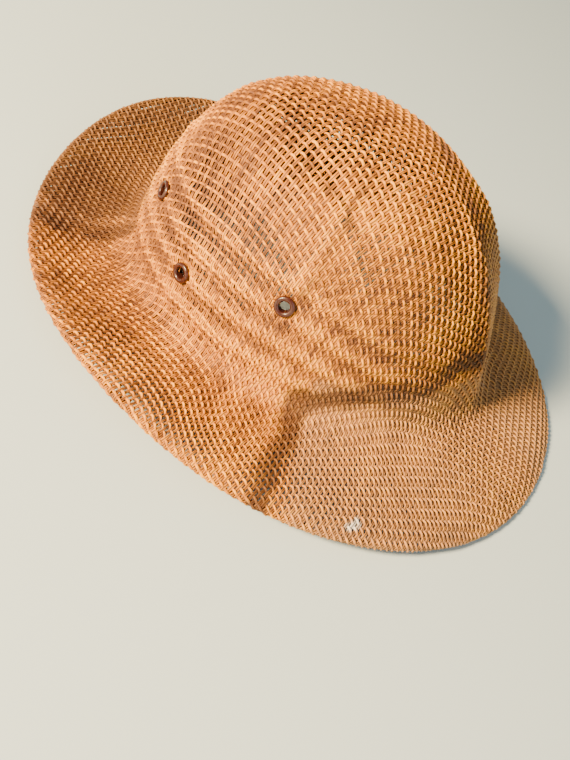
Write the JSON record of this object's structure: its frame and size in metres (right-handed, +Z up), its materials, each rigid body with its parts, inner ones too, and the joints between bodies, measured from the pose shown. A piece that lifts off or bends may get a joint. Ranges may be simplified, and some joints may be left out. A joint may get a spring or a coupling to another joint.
{
  "type": "sun helmet",
  "caption": "Pith-style sun helmet pressed from woven straw, with an oval crown, a wide brim turned up at the front, pressed folds and enamelled vent eyelets.",
  "frame": {"origin": "centre of the bounding box's bottom, on the plane the brim stands on", "axes": "+Z up out of the crown's top, -Y towards the turned-up front of the brim, +X towards the wearer's left, the side the picture shows"},
  "size_m": [0.3038, 0.3294, 0.1264],
  "materials": {
    "straw": "plain-woven twisted straw cord, aged tan with brown water stains, matte",
    "enamel": "dark reddish-brown enamel, semi-gloss"
  },
  "bodies": {
    "root": {"hat_body": "straw", "eyelet_left_front": "enamel", "eyelet_left_middle": "enamel", "eyelet_left_rear": "enamel", "eyelet_right_front": "enamel", "eyelet_right_middle": "enamel", "eyelet_right_rear": "enamel"}
  },
  "joints": []
}
